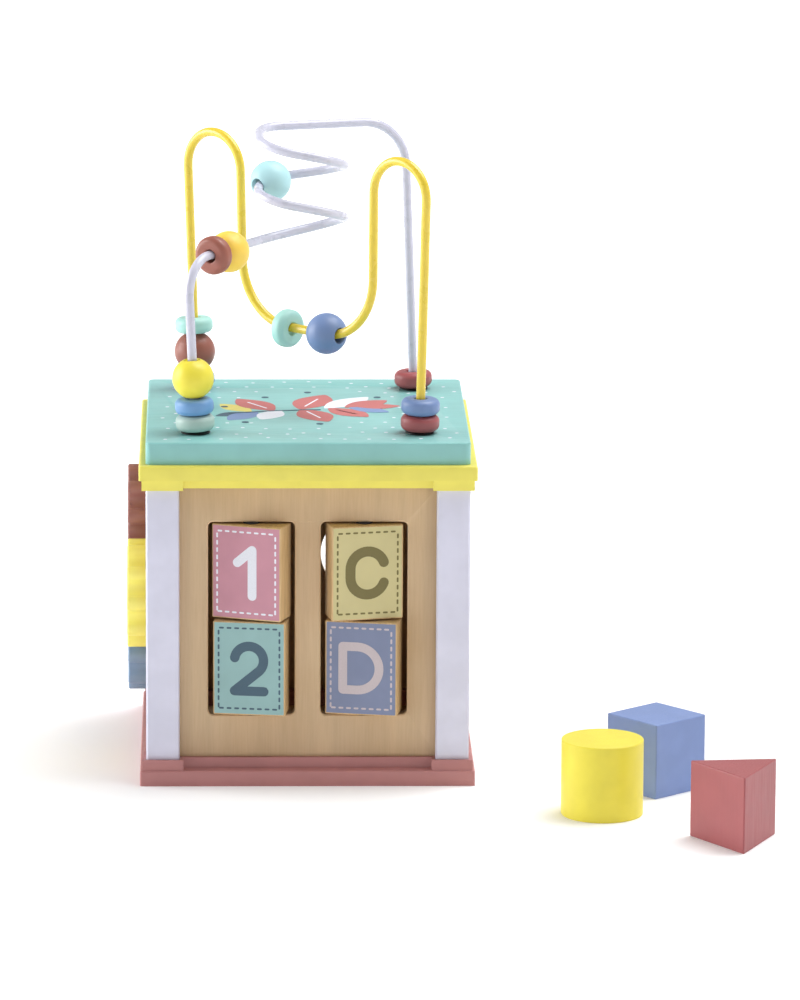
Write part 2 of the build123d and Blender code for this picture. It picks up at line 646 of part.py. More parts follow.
# disc and ball on the white wire's first level run
RUN_START = 23.0  # from the bend's corner to the disc's middle
RUN_DISC_HANG = 0.6  # how far each hangs below the wire's centre line
RUN_BALL_HANG = 1.1
run_foot = Vector(*white_points[1])
run_way = (Vector(*white_points[2]) - run_foot).normalized()
run_plane = Plane(origin=run_foot + run_way * RUN_START, z_dir=run_way)
run_next = run_plane.offset((DISC_T + BALL_L) / 2 + BEAD_GAP)
run_disc = Plane(origin=run_plane.origin - Vector(0, 0, RUN_DISC_HANG), z_dir=run_way)
run_ball = Plane(origin=run_next.origin - Vector(0, 0, RUN_BALL_HANG), z_dir=run_way)
write(disc(run_disc), "bead_run_disc_brown")
write(ball(run_ball), "bead_run_ball_yellow")

# ball in the middle of the coil's back left bend
coil_centre, coil_radius, coil_half, coil_in, coil_out = bend_of(white_points, WHITE_BENDS, COIL_CORNER)
coil_reach = (coil_in - coil_out).normalized() * (coil_radius - COIL_BALL_LIFT)
coil_plane = Plane(origin=coil_centre + coil_reach, z_dir=(coil_in + coil_out).normalized())
write(ball(coil_plane), "bead_coil_ball_teal")

# ---------------------------------------------------------------- loose shapes
with BuildPart(Location((*CYLINDER_AT, 0))) as cylinder:
    Cylinder(CYLINDER_D / 2, SHAPE_H, align=low_align)
    fillet(cylinder.edges().filter_by(GeomType.CIRCLE), SHAPE_EDGE)
write(cylinder, "shape_cylinder")

with BuildPart(Location((*SQUARE_AT, 0), (0, 0, SQUARE_TURN))) as square:
    Box(SQUARE_W, SQUARE_W, SHAPE_H, align=low_align)
    fillet(square.edges(), SHAPE_EDGE)
write(square, "shape_square")

with BuildPart() as triangle:
    with BuildSketch():
        with Locations(TRIANGLE_AT):
            RegularPolygon(TRIANGLE_SIDE / sqrt(3), 3, rotation=TRIANGLE_TURN)
    extrude(amount=SHAPE_H)
    fillet(triangle.edges(), SHAPE_EDGE)
write(triangle, "shape_triangle")
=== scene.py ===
"""Wooden activity cube with a bead maze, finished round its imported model. Metres, +Z up.

The spinning block window faces -Y, the gears -X and the sorter holes +Y.
"""

import json
import random
from math import cos, hypot, pi, radians, sin

import bmesh
import bpy
from bpy.props import FloatProperty, FloatVectorProperty, IntProperty, PointerProperty
from mathutils import Matrix, Vector


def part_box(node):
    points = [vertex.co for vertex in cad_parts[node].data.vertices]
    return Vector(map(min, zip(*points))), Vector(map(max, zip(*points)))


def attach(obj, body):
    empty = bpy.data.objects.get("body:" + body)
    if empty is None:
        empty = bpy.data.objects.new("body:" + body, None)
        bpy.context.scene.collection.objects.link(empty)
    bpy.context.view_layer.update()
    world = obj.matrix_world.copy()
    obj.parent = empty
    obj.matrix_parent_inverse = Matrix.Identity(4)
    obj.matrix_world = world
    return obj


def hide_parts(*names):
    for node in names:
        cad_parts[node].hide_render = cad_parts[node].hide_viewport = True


bl_info = {
    "name": "Wooden activity cube",
    "version": (1, 0, 0),
    "blender": (4, 5, 0),
    "location": "View3D > Sidebar > Activity cube",
    "description": "Painted wood, printed blocks, turned beads and coated wires round the packed cube",
    "category": "Object",
}

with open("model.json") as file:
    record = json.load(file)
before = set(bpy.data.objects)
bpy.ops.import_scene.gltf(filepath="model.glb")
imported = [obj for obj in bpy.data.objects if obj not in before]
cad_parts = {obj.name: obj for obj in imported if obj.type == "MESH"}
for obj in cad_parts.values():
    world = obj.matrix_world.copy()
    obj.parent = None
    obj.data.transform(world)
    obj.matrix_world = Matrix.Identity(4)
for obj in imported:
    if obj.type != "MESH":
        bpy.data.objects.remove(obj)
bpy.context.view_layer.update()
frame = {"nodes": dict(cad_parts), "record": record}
NODES = frame["nodes"]
NODE_BODY = {node: body for body, nodes in frame["record"]["behaviour"]["bodies"].items() for node in nodes}
MM = 0.001
MERGE = 1e-6  # points nearer than this are one point
SHARP = radians(50)  # an edge with more turn than this is rounded over
SMOOTH_BELOW = radians(35)  # faces that meet at less than this are shaded as one surface
UP = Vector((0, 0, 1))


# ---------------------------------------------------------------- colours and sizes
def linear(colour):
    """sRGB hex colour as linear red, green, blue and alpha."""
    parts = [int(colour[i : i + 2], 16) / 255 for i in (0, 2, 4)]
    return tuple(p / 12.92 if p <= 0.04045 else ((p + 0.055) / 1.055) ** 2.4 for p in parts) + (1.0,)


def paint(name, description, colour):
    """A colour that the panel shows."""
    return FloatVectorProperty(
        name=name, description=description, subtype="COLOR", size=4, min=0, max=1, default=linear(colour)
    )


def size(name, description, millimetres):
    """A length that the panel shows."""
    return FloatProperty(
        name=name, description=description, default=millimetres * MM, min=0, unit="LENGTH", precision=5
    )


class CubePaints(bpy.types.PropertyGroup):
    """Colours of the paints, woods, inks and coatings"""

    base: paint("Base frame", "Enamel on the base frame", "b97d7b")
    band: paint("Top frame", "Enamel on the top frame", "e5da5e")
    post: paint("Corner posts", "Enamel on the corner posts", "d9d9eb")
    lid: paint("Lid", "Enamel on the lid", "87c0bd")
    block_pink: paint("Pink block", "Paint on the faces of block 1", "c78d9c")
    block_mint: paint("Mint block", "Paint on the faces of block 2", "95bbba")
    block_olive: paint("Olive block", "Paint on the faces of block C", "cdc28d")
    block_blue: paint("Blue block", "Paint on the faces of block D", "7e88a6")
    gear_middle: paint("Middle gear", "Enamel on the middle gear", "fef780")
    gear_upper: paint("Upper gear", "Enamel on the upper gear", "9d6c67")
    gear_lower: paint("Lower gear", "Enamel on the lower gear", "8ba7c9")
    yellow: paint("Yellow", "Enamel on the yellow beads and the cylinder", "eadb45")
    amber: paint("Amber", "Enamel on the yellow ball next to the coil", "fad256")
    blue: paint("Blue", "Enamel on the blue discs", "6d9acb")
    dusk_blue: paint("Dusk blue", "Enamel on the blue balls", "6e85b1")
    sky_blue: paint("Sky blue", "Enamel on the loose square block", "7d93c7")
    mint: paint("Mint", "Enamel on the mint discs", "aadbd4")
    teal: paint("Teal", "Enamel on the ball in the coil", "afd9dd")
    pale: paint("Pale grey", "Enamel on the lowest disc of the front left stack", "acc4bc")
    rose: paint("Rose", "Enamel on the rose discs and the loose triangle", "a15254")
    brown: paint("Brown", "Enamel on the brown disc and ball", "985a4c")
    wire_yellow: paint("Yellow wire", "Coating of the yellow wire", "e3c73b")
    wire_white: paint("White wire", "Coating of the white wire", "c8c8d8")
    birch: paint("Birch", "Face veneer of the plywood", "d3b792")
    beech: paint("Beech", "Bare wood on the blocks' sides and the pins", "dcbd8d")
    ink_white: paint("White ink", "Print on block 1 and the lid", "e7e9f2")
    ink_slate: paint("Slate ink", "Print on block 2 and the lid", "476172")
    ink_olive: paint("Olive ink", "Print on block C", "776d3e")
    ink_pale: paint("Pale ink", "Print on block D", "c9bdc0")
    ink_rose: paint("Rose ink", "Leaves printed on the lid", "c06f6d")
    ink_blue: paint("Blue ink", "Leaves printed on the lid", "7d93be")
    ink_yellow: paint("Yellow ink", "Leaves printed on the lid", "e2d577")
    floor: paint("Floor", "The studio floor", "f7f7f8")


class CubeSizes(bpy.types.PropertyGroup):
    """Small sizes of the finish"""

    frame_ease: size("Frame edges", "Radius worn on the edges of frames and posts", 0.35)
    panel_ease: size("Panel edges", "Radius sanded on the edges of the plywood", 0.3)
    gear_ease: size("Gear edges", "Radius on the edges of the gears", 0.9)
    bead_ease: size("Bead mouths", "Radius at the mouths of the beads' bores", 0.45)
    collar_ease: size("Collar edges", "Radius on the wires' collars", 0.5)
    ply: size("Ply", "Thickness of one layer of the plywood", 1.2)
    ink: size("Ink", "How far a print stands above the paint", 0.05)
    dash: size("Dash", "Length of a dash in the blocks' borders", 2.4)
    dash_width: size("Dash width", "Width of a dash", 0.9)
    border_side: size("Border, sides", "Dashed border inside the blocks' side edges", 2.75)
    border_end: size("Border, ends", "Dashed border inside the blocks' upper and lower edges", 3.3)
    speck: size("Speck", "Diameter of the white specks on the lid", 1.7)
    speck_pitch: size("Speck spacing", "Distance between the specks on the lid", 12.5)
    speck_seed: IntProperty(
        name="Speck scatter", description="Which scatter the specks get", default=7, min=0
    )


# ---------------------------------------------------------------- materials
def add(tree, kind, values=(), links=()):
    """Adds a node, sets its values and links its inputs, each given as (name or index, value or output)."""
    node = tree.nodes.new(kind)
    for key, value in values:
        if isinstance(key, int) or key in node.inputs:
            node.inputs[key].default_value = value
        else:
            setattr(node, key, value)
    for key, output in links:
        tree.links.new(output, node.inputs[key])
    return node


def material(name, **sockets):
    """A new material, its node tree and its shader with these sockets set."""
    made = bpy.data.materials.new(name)
    made.use_nodes = True
    shader = made.node_tree.nodes["Principled BSDF"]
    for key, value in sockets.items():
        shader.inputs[key.replace("_", " ")].default_value = value
    return made, made.node_tree, shader


def shade(colour, factor):
    """A colour made lighter or darker."""
    return tuple(min(1.0, channel * factor) for channel in colour[:3]) + (1.0,)


NOISE_LOW, NOISE_HIGH = 0.35, 0.65  # nearly all of a noise lies between these


def pattern(tree, place, pitch, detail=3.0, roughness=0.55):
    """Noise whose features are about a pitch across, in metres, as it is and stretched to its whole range."""
    values = [("Scale", 1 / pitch), ("Detail", detail), ("Roughness", roughness)]
    plain = add(tree, "ShaderNodeTexNoise", values, [("Vector", place)]).outputs["Fac"]
    ends = [("From Min", NOISE_LOW), ("From Max", NOISE_HIGH)]
    return plain, add(tree, "ShaderNodeMapRange", ends, [("Value", plain)]).outputs["Result"]


def tint(tree, factor, low, high, under=None):
    """A colour from low to high along a pattern, which darkens the one under it if there is one."""
    values = [("data_type", "RGBA"), (6, low), (7, high)]
    tone = add(tree, "ShaderNodeMix", values, [(0, factor)]).outputs[2]
    if under is None:
        return tone
    values = [("data_type", "RGBA"), ("blend_type", "MULTIPLY"), (0, 1.0)]
    return add(tree, "ShaderNodeMix", values, [(6, under), (7, tone)]).outputs[2]


def surface(tree, shader, tone, gloss=None, relief=None):
    """Puts a finish on its shader.

    The gloss is (pattern, least roughness, most roughness) and the relief (pattern, depth, strength).
    """
    tree.links.new(tone, shader.inputs["Base Color"])
    if gloss is not None:
        factor, least, most = gloss
        ends = [("To Min", least), ("To Max", most)]
        rough = add(tree, "ShaderNodeMapRange", ends, [("Value", factor)])
        tree.links.new(rough.outputs["Result"], shader.inputs["Roughness"])
    if relief is not None:
        height, depth, strength = relief
        values = [("Distance", depth), ("Strength", strength)]
        raised = add(tree, "ShaderNodeBump", values, [("Height", height)])
        tree.links.new(raised.outputs["Normal"], shader.inputs["Normal"])


def along_grain(tree, stretch):
    """Object coordinates squeezed along the grain, so that a pattern is drawn out that way."""
    place = add(tree, "ShaderNodeTexCoord").outputs["Object"]
    return add(tree, "ShaderNodeMapping", [("Scale", stretch)], [("Vector", place)]).outputs["Vector"]


GRAIN_X = (0.05, 1.0, 1.0)
GRAIN_Y = (1.0, 0.05, 1.0)
GRAIN_Z = (1.0, 1.0, 0.05)
UNTINTED = (1, 1, 1, 1)


def enamelled_wood(name, colour, grain=GRAIN_Z, rough=0.42):
    """Enamel sprayed on sanded beech: an even film, its sheen a little broken where the grain swells."""
    made, tree, shader = material(name, IOR=1.5)
    pores, spread_pores = pattern(tree, along_grain(tree, grain), 0.9 * MM)
    place = add(tree, "ShaderNodeTexCoord").outputs["Object"]
    cloud = pattern(tree, place, 14 * MM, detail=2.0)[1]  # the film is a little thicker here and there
    tone = tint(tree, cloud, shade(colour, 0.965), shade(colour, 1.03))
    surface(tree, shader, tone, (spread_pores, rough - 0.05, rough + 0.07), (pores, 0.03 * MM, 0.35))
    return made


def birch_face(name, colour, grain=GRAIN_Z):
    """Clear-coated rotary birch veneer: soft bands 9 mm wide, wide clouds and fine flecks along the grain."""
    made, tree, shader = material(name, IOR=1.5)
    lines = along_grain(tree, grain)
    bands = pattern(tree, lines, 9 * MM, detail=2.0)[1]
    flecks, spread_flecks = pattern(tree, lines, 0.8 * MM, detail=4.0, roughness=0.6)
    place = add(tree, "ShaderNodeTexCoord").outputs["Object"]
    cloud = pattern(tree, place, 45 * MM, detail=1.0)[1]
    tone = tint(tree, bands, shade(colour, 0.93), shade(colour, 1.03))
    tone = tint(tree, cloud, (0.93, 0.9, 0.86, 1), UNTINTED, tone)
    tone = tint(tree, spread_flecks, (0.94, 0.92, 0.89, 1), UNTINTED, tone)
    surface(tree, shader, tone, (spread_flecks, 0.48, 0.6), (flecks, 0.04 * MM, 0.4))
    return made


def birch_edge(name, colour, across, ply):
    """Sanded edge of birch plywood: layers a ply thick, by turns pale long grain and darker end grain."""
    made, tree, shader = material(name, IOR=1.5, Roughness=0.62)
    place = add(tree, "ShaderNodeTexCoord").outputs["Object"]
    values = [("bands_direction", across), ("Scale", pi / (20 * ply)), ("Distortion", 0.4), ("Detail", 1.0)]
    wave = add(tree, "ShaderNodeTexWave", values, [("Vector", place)]).outputs["Fac"]
    ends = [("From Min", NOISE_LOW), ("From Max", NOISE_HIGH)]
    layers = add(tree, "ShaderNodeMapRange", ends, [("Value", wave)]).outputs["Result"]
    grit = pattern(tree, place, 0.5 * MM)[0]
    tone = tint(tree, layers, shade(colour, 0.72), shade(colour, 1.1))
    surface(tree, shader, tone, relief=(grit, 0.05 * MM, 0.5))
    return made


def bare_beech(name, colour, grain=GRAIN_Z):
    """Sanded beech with a thin clear coat: warm, with short darker flecks 0.6 mm wide along the grain."""
    made, tree, shader = material(name, IOR=1.5)
    lines = along_grain(tree, grain)
    bands = pattern(tree, lines, 4 * MM, detail=2.0)[1]
    flecks, spread_flecks = pattern(tree, lines, 0.6 * MM)
    tone = tint(tree, bands, shade(colour, 0.88), shade(colour, 1.05))
    tone = tint(tree, spread_flecks, (0.84, 0.78, 0.7, 1), UNTINTED, tone)
    surface(tree, shader, tone, (spread_flecks, 0.5, 0.62), (flecks, 0.04 * MM, 0.4))
    return made


def screen_ink(name, colour):
    """Screen-printed ink: flat and dense, with a faint mottle of about 0.4 mm from the screen's mesh."""
    made, tree, shader = material(name, IOR=1.5, Roughness=0.55)
    place = add(tree, "ShaderNodeTexCoord").outputs["Object"]
    mottle = pattern(tree, place, 0.4 * MM)[1]
    surface(tree, shader, tint(tree, mottle, shade(colour, 0.95), shade(colour, 1.03)))
    return made


def dipped_vinyl(name, colour):
    """Vinyl dipped on steel wire: smooth and glossy, with a slow ripple about 6 mm long from the dip."""
    made, tree, shader = material(name, IOR=1.52, Coat_Weight=0.25, Coat_Roughness=0.12)
    place = add(tree, "ShaderNodeTexCoord").outputs["Object"]
    ripple, spread_ripple = pattern(tree, place, 6 * MM, detail=1.0)
    tone = tint(tree, spread_ripple, shade(colour, 0.97), shade(colour, 1.02))
    surface(tree, shader, tone, (spread_ripple, 0.26, 0.36), (ripple, 0.05 * MM, 0.3))
    return made


def moulded_abs(name, colour):
    """Injection-moulded ABS: near black, with the fine spark texture of its mould, about 0.3 mm grit."""
    made, tree, shader = material(name, IOR=1.54)
    place = add(tree, "ShaderNodeTexCoord").outputs["Object"]
    grit, spread_grit = pattern(tree, place, 0.3 * MM)
    tone = tint(tree, grit, shade(colour, 0.85), shade(colour, 1.15))
    surface(tree, shader, tone, (spread_grit, 0.38, 0.5), (grit, 0.02 * MM, 0.5))
    return made


def zinc_plated_steel(name):
    """Zinc-plated steel: bright grey, with a cloudy passivated film in patches about 2 mm across."""
    made, tree, shader = material(name, Metallic=1.0)
    place = add(tree, "ShaderNodeTexCoord").outputs["Object"]
    cloud = pattern(tree, place, 2 * MM)[1]
    surface(tree, shader, tint(tree, cloud, linear("b9bcc0"), linear("d6d8da")), (cloud, 0.25, 0.4))
    return made


# ---------------------------------------------------------------- shapes
def piece(bm, name, body, materials, nodes=()):
    """Turns a finished bmesh into an object that rides on a body and stands for CAD nodes."""
    mesh = bpy.data.meshes.new(name)
    bm.to_mesh(mesh)
    bm.free()
    for made in materials:
        mesh.materials.append(made)
    mesh.polygons.foreach_set("use_smooth", [True] * len(mesh.polygons))
    mesh.set_sharp_from_angle(angle=SMOOTH_BELOW)
    obj = bpy.data.objects.new(name, mesh)
    bpy.context.scene.collection.objects.link(obj)
    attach(obj, body)
    if nodes:
        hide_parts(*nodes)
    return obj


def eased_bmesh(node, ease, segments=2):
    """A copy of a CAD node, merged, with its sharp edges rounded over."""
    bm = bmesh.new()
    bm.from_mesh(NODES[node].data)
    bmesh.ops.remove_doubles(bm, verts=bm.verts, dist=MERGE)
    bmesh.ops.dissolve_limit(bm, angle_limit=radians(0.5), verts=bm.verts, edges=bm.edges)
    sharp = [edge for edge in bm.edges if len(edge.link_faces) == 2 and edge.calc_face_angle() > SHARP]
    bmesh.ops.bevel(
        bm,
        geom=sharp,
        offset=ease,
        offset_type="OFFSET",
        segments=segments,
        profile=0.5,
        affect="EDGES",
        clamp_overlap=True,
        material=-1,
    )
    return bm


def eased(node, made, ease, segments=2):
    """A CAD node's shape with its sharp edges rounded over and one finish."""
    bm = eased_bmesh(node, ease, segments)
    return piece(bm, f"{node}_finished", NODE_BODY[node], [made], [node])


def finish(node, made):
    """Gives a CAD node that keeps its own mesh its finish."""
    NODES[node].material_slots[0].material = made


def facing(u, v, origin):
    """Matrix of a flat print: u to its right, v up it, and out of the surface."""
    turned = Matrix((u, v, u.cross(v))).transposed()
    return Matrix.Translation(origin) @ turned.to_4x4()


END_STEPS = 8  # facets of a stroke's round end
ARC_STEP = radians(9)  # turn of one facet of a stroke's arc


def round_end(bm, at, heading, width, side):
    """Half disc at an end of a stroke: half of the pen turned about its middle."""
    across = Vector((-sin(heading), cos(heading), 0)) * (width / 2) * side
    spoke = bm.edges.new((bm.verts.new(at), bm.verts.new(at + across)))
    geom = [spoke, *spoke.verts]
    bmesh.ops.spin(bm, geom=geom, cent=at, axis=UP, angle=pi, steps=END_STEPS, use_duplicate=False)


def stroke(bm, at, heading, width, moves, ink, lift=0.0):
    """Draws a stroke of ink with round ends, in millimetres and radians.

    A pen as wide as the stroke is pulled along each straight move, given as (length, 0), and turned through
    each arc, given as (radius, turn), to the left if the turn is positive.
    """
    before = set(bm.faces)
    at = Vector((at[0], at[1], 0)) * MM
    width = width * MM
    across = Vector((-sin(heading), cos(heading), 0)) * (width / 2)
    left, middle, right = (bm.verts.new(at + across * side) for side in (1, 0, -1))
    pen = [bm.edges.new((left, middle)), bm.edges.new((middle, right))]
    round_end(bm, at, heading, width, 1)
    for length, turn in moves:
        length = length * MM
        if turn == 0:
            way = Vector((cos(heading), sin(heading), 0)) * length
            moved = bmesh.ops.extrude_edge_only(bm, edges=pen)["geom"]
            verts = [item for item in moved if isinstance(item, bmesh.types.BMVert)]
            bmesh.ops.translate(bm, verts=verts, vec=way)
            at = at + way
        else:
            side = 1 if turn > 0 else -1
            centre = at + Vector((-sin(heading), cos(heading), 0)) * length * side
            steps = max(2, round(abs(turn) / ARC_STEP))
            geom = pen + list({vert for edge in pen for vert in edge.verts})
            moved = bmesh.ops.spin(
                bm, geom=geom, cent=centre, axis=UP, angle=turn, steps=steps, use_duplicate=False
            )["geom_last"]
            at = centre + Matrix.Rotation(turn, 3, "Z") @ (at - centre)
            heading += turn
        pen = [item for item in moved if isinstance(item, bmesh.types.BMEdge)]
    round_end(bm, at, heading, width, -1)
    thicken(bm, [face for face in bm.faces if face not in before], ink, lift)


def thicken(bm, faces, ink, lift):
    """Merges a new flat print and gives it its thickness of ink, as a closed film that faces outwards."""
    verts = list({vert for face in faces for vert in face.verts})
    bmesh.ops.remove_doubles(bm, verts=verts, dist=MERGE)
    faces = [face for face in faces if face.is_valid]
    raised = bmesh.ops.extrude_face_region(bm, geom=faces, use_keep_orig=True)["geom"]
    verts = [item for item in raised if isinstance(item, bmesh.types.BMVert)]
    bmesh.ops.translate(bm, verts=verts, vec=UP * (2 * ink + lift))
    shell = set(faces).union(face for vert in verts for face in vert.link_faces)
    bmesh.ops.recalc_face_normals(bm, faces=list(shell))


# pen width of each digit and letter, and its strokes from the middle of a face: (start, heading, moves)
GLYPHS = {
    "1": (4.5, [((3.0, -11.2), 90, [(22.4, 0)]), ((3.0, 11.2), 220.5, [(9.9, 0)])]),
    "2": (4.6, [((-6.94, 5.22), 80, [(7.05, -220), (15.1, 0)]), ((-7.0, -11.1), 0, [(14.2, 0)])]),
    "C": (4.9, [((7.94, 4.99), 110, [(8.45, 160), (4.2, 0), (8.45, 160)])]),
    "D": (
        4.3,
        [((-8.85, -10.65), 90, [(21.3, 0)]), ((-8.85, 10.65), 0, [(7.05, 0), (10.65, -180), (7.05, 0)])],
    ),
}
STACKED = 0.01 * MM  # a later stroke or leaf lies this much above the one before
DASH_PITCH = 3.65


def draw_glyph(bm, glyph, ink):
    """Draws a digit or letter in plain round-ended strokes."""
    width, strokes = GLYPHS[glyph]
    for layer, (at, heading, moves) in enumerate(strokes):
        moves = [(length, radians(turn)) for length, turn in moves]
        stroke(bm, at, radians(heading), width, moves, ink, STACKED * layer)


def draw_border(bm, half_width, half_height, dash, width, ink):
    """Draws a dashed rectangle, with the same number of dashes on opposite sides."""
    for half_run, half_gap, turn in ((half_width, half_height, 0), (half_height, half_width, 90)):
        count = round(2 * half_run / DASH_PITCH)
        for step in range(count):
            middle = (step + 0.5) * 2 * half_run / count - half_run
            for side in (-1, 1):
                start = (middle - dash / 2, half_gap * side)
                if turn == 90:
                    start = (start[1], start[0])
                stroke(bm, start, radians(turn), width, [(dash - width, 0)], ink)


LEAF_SIDES = 28
LEAF_PINCH = 0.55  # how much narrower a leaf is towards its ends than an oval


def leaf(bm, at, heading, length, width, ink, lift):
    """Prints a pointed leaf that grows from a point of the stem."""
    before = set(bm.faces)
    verts = bmesh.ops.create_circle(bm, cap_ends=True, radius=1.0, segments=LEAF_SIDES)["verts"]
    for vert in verts:
        vert.co.y *= 1 - LEAF_PINCH * vert.co.x**2
        vert.co.x += 1.0
    turn = Matrix.Rotation(radians(heading), 4, "Z")
    grown = Matrix.Diagonal((length * MM / 2, width * MM / 2, 1, 1))
    place = Matrix.Translation(Vector((*at, 0)) * MM) @ turn @ grown
    bmesh.ops.transform(bm, matrix=place, verts=verts)
    thicken(bm, [face for face in bm.faces if face not in before], ink, lift)


# ---------------------------------------------------------------- operators
def paints():
    return bpy.context.scene.cube_paints


def sizes():
    return bpy.context.scene.cube_sizes


class CUBE_OT_frames(bpy.types.Operator):
    """Base frame, top frame, corner posts and base board"""

    bl_idname = "cube.frames"
    bl_label = "Frames and posts"

    def execute(self, context):
        ease = sizes().frame_ease
        eased("base_frame", enamelled_wood("rose_enamelled_beech", paints().base, GRAIN_X, 0.38), ease)
        eased("top_frame", enamelled_wood("yellow_enamelled_beech", paints().band, GRAIN_X, 0.38), ease)
        white = enamelled_wood("white_enamelled_beech", paints().post, GRAIN_Z, 0.4)
        for node in sorted(node for node in NODES if node.startswith("corner_post")):
            eased(node, white, ease)
        eased("base_board", birch_face("birch_board", paints().birch, GRAIN_X), sizes().panel_ease)
        return {"FINISHED"}


EDGE_ON = 0.9  # a panel's face whose normal is less than this along its thickness shows the layers


class CUBE_OT_panels(bpy.types.Operator):
    """The four plywood sides, with their layers showing at the edges and in the openings"""

    bl_idname = "cube.panels"
    bl_label = "Plywood panels"

    def execute(self, context):
        veneer = birch_face("birch_veneer", paints().birch, GRAIN_Z)
        for axis, sides in (("Y", ("front", "back")), ("X", ("left", "right"))):
            layers = birch_edge(f"birch_ply_edge_{axis.lower()}", paints().birch, axis, sizes().ply)
            for side in sides:
                node = f"{side}_panel"
                bm = eased_bmesh(node, sizes().panel_ease)
                for face in bm.faces:
                    face.material_index = int(abs(face.normal["XY".index(axis)]) < EDGE_ON)
                piece(bm, f"{node}_finished", NODE_BODY[node], [veneer, layers], [node])
        return {"FINISHED"}


# block: (its body's turn about its rod in degrees, its paint, its ink, its digit or letter)
BLOCKS = {
    "block_upper_left": (-20.0, "block_pink", "ink_white", "1"),
    "block_lower_left": (-9.0, "block_mint", "ink_slate", "2"),
    "block_upper_right": (12.0, "block_olive", "ink_olive", "C"),
    "block_lower_right": (-11.5, "block_blue", "ink_pale", "D"),
}
BLOCK_HALF_W = 17.5 * MM
BLOCK_HALF_T = 7.5 * MM
FACE_ON = 0.995  # a block's face whose normal is more than this along its thickness is painted


class CUBE_OT_blocks(bpy.types.Operator):
    """The spinning blocks: bare beech with painted and printed faces, on steel rods"""

    bl_idname = "cube.blocks"
    bl_label = "Spinning blocks"

    def execute(self, context):
        beech = bare_beech("clear_coated_beech", paints().beech)
        for node, (turn, face_paint, face_ink, glyph) in BLOCKS.items():
            spun = Matrix.Rotation(radians(turn), 3, "Z")
            front = spun @ Vector((0, -1, 0))
            painted = enamelled_wood(f"{face_paint}_enamel", getattr(paints(), face_paint), GRAIN_Z, 0.5)
            bm = eased_bmesh(node, sizes().frame_ease)
            for face in bm.faces:
                face.material_index = int(abs(face.normal.dot(front)) > FACE_ON)
            piece(bm, f"{node}_finished", node, [beech, painted], [node])
            self.print_faces(node, spun, screen_ink(f"{face_ink}_print", getattr(paints(), face_ink)), glyph)
        steel = zinc_plated_steel("zinc_plated_rod")
        for side in ("left", "right"):
            finish(f"block_rod_{side}", steel)
        finish("block_washers", moulded_abs("black_abs_washer", linear("232326")))
        return {"FINISHED"}

    def print_faces(self, node, spun, ink, glyph):
        """Prints a dashed border and a digit or letter on a block's front and back."""
        low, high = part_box(node)
        middle = (low + high) / 2
        half_height = (high.z - low.z) / 2
        film = sizes().ink
        bm = bmesh.new()
        for side in (1, -1):
            one = bmesh.new()
            border_w = (BLOCK_HALF_W - sizes().border_side) / MM
            border_h = (half_height - sizes().border_end) / MM
            draw_border(one, border_w, border_h, sizes().dash / MM, sizes().dash_width / MM, film)
            draw_glyph(one, glyph, film)
            out = spun @ Vector((0, -side, 0))
            place = facing(spun @ Vector((side, 0, 0)), UP, middle + out * (BLOCK_HALF_T - film))
            bmesh.ops.transform(one, matrix=place, verts=one.verts)
            flat = bpy.data.meshes.new("print")
            one.to_mesh(flat)
            one.free()
            bm.from_mesh(flat)
            bpy.data.meshes.remove(flat)
        piece(bm, f"{node}_print", node, [ink])


class CUBE_OT_gears(bpy.types.Operator):
    """The three wave gears on the left side, with their pins and spacers"""

    bl_idname = "cube.gears"
    bl_label = "Gears"

    def execute(self, context):
        for place in ("upper", "middle", "lower"):
            colour = getattr(paints(), f"gear_{place}")
            enamel = enamelled_wood(f"{place}_gear_enamel", colour, GRAIN_Y, 0.45)
            eased(f"gear_{place}", enamel, sizes().gear_ease, 3)
        beech = bare_beech("turned_beech_pin", paints().beech, GRAIN_X)
        for place in ("upper", "middle", "lower"):
            eased(f"gear_pin_{place}", beech, sizes().frame_ease)
        eased("gear_spacers", beech, sizes().frame_ease)
        return {"FINISHED"}


# leaves on the lid, from the sprig's middle: (root, heading in degrees, length, width, ink)
LEAVES = [
    ((-30.0, -9.0), 214, 17, 9, "ink_slate"),
    ((-27.0, -8.0), 128, 24, 12, "ink_yellow"),
    ((-24.0, -7.5), 236, 25, 13, "ink_blue"),
    ((-16.0, -5.0), 122, 33, 17, "ink_rose"),
    ((-13.0, -4.5), 248, 24, 13, "ink_white"),
    ((-3.0, -2.0), 70, 37, 19, "ink_rose"),
    ((-2.0, -2.0), 292, 32, 17, "ink_rose"),
    ((9.0, 0.0), 52, 35, 15, "ink_white"),
    ((11.0, 0.5), 312, 28, 15, "ink_rose"),
    ((19.0, 2.0), 40, 27, 14, "ink_rose"),
    ((21.0, 2.0), 330, 22, 11, "ink_blue"),
    ((25.0, 3.0), 8, 21, 11, "ink_rose"),
]
BERRIES = [(-20.0, 27.0), (1.0, 39.0), (-30.0, -33.0), (6.0, -37.0), (35.0, 27.0), (-40.0, 4.0)]
STEM = ((-37.0, -12.0), 20, [(150.0, radians(-14)), (110.0, radians(-4))])
SPRIG_CENTRE = (0.0, 4.0)
SPRIG_CLEAR = 42.0  # no specks nearer than this to the sprig's middle
LEAF_LIFT = 0.04 * MM
SPECK_MARGIN = 4.0  # bare edge of the lid
SPECK_WANDER = 0.22  # how far a speck strays from its row and column, as a share of their spacing
WIRE_HOLE = 53.7  # the wires' collars from the lid's middle, in X and Y
COLLAR_CLEAR = 9.0


